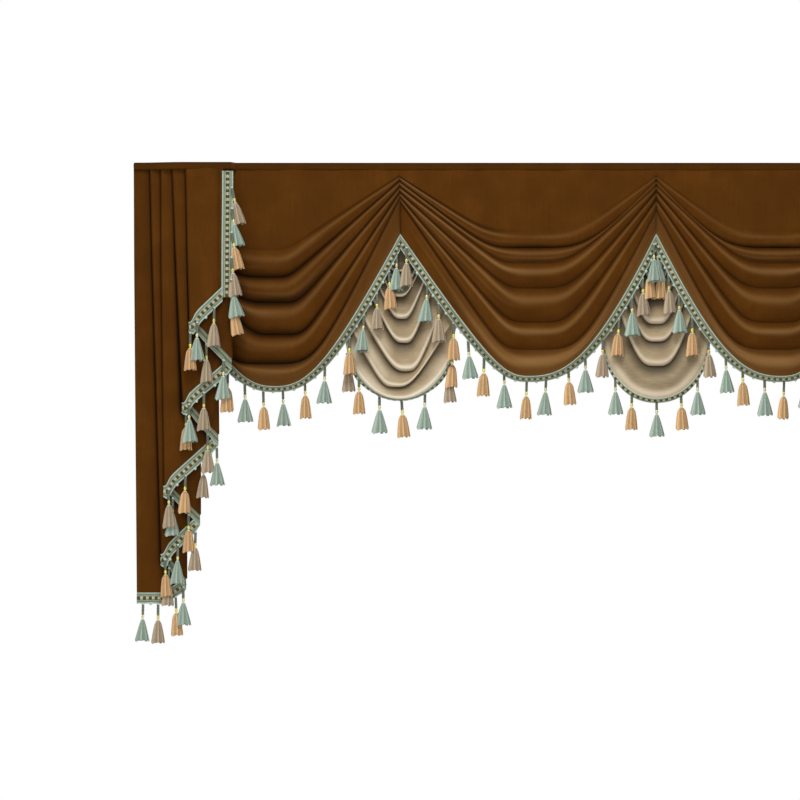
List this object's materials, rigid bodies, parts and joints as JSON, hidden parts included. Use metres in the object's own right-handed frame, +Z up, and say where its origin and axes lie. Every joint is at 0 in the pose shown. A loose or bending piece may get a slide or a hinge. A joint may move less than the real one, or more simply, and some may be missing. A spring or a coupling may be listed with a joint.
{
  "type": "swag valance with cascade tails and tassel fringe",
  "caption": "Velvet swag valance: draped swags under a narrow heading, pale under-swags in the openings, pleated cascade tails at the ends, and a tassel braid along every free edge.",
  "frame": {"origin": "middle of the top edge of the heading, at its back face", "axes": "+Z up, +X to the right seen from the front, the front faces -Y"},
  "size_m": [1.576, 0.0756, 0.9606],
  "materials": {
    "velvet": "brown pile velvet",
    "cream_cloth": "cream velvet with a soft sheen",
    "fringe": "woven mint braid with yarn tassels"
  },
  "bodies": {
    "root": {"heading": "velvet", "swag_middle": "velvet", "fringe_swag_middle": "fringe", "swag_left": "velvet", "tail_left": "velvet", "insert_left": "cream_cloth", "fringe_swag_left": "fringe", "fringe_insert_left": "fringe", "fringe_tail_left": "fringe", "fringe_edge_left": "fringe", "swag_right": "velvet", "tail_right": "velvet", "insert_right": "cream_cloth", "fringe_swag_right": "fringe", "fringe_insert_right": "fringe", "fringe_tail_right": "fringe", "fringe_edge_right": "fringe"}
  },
  "joints": []
}
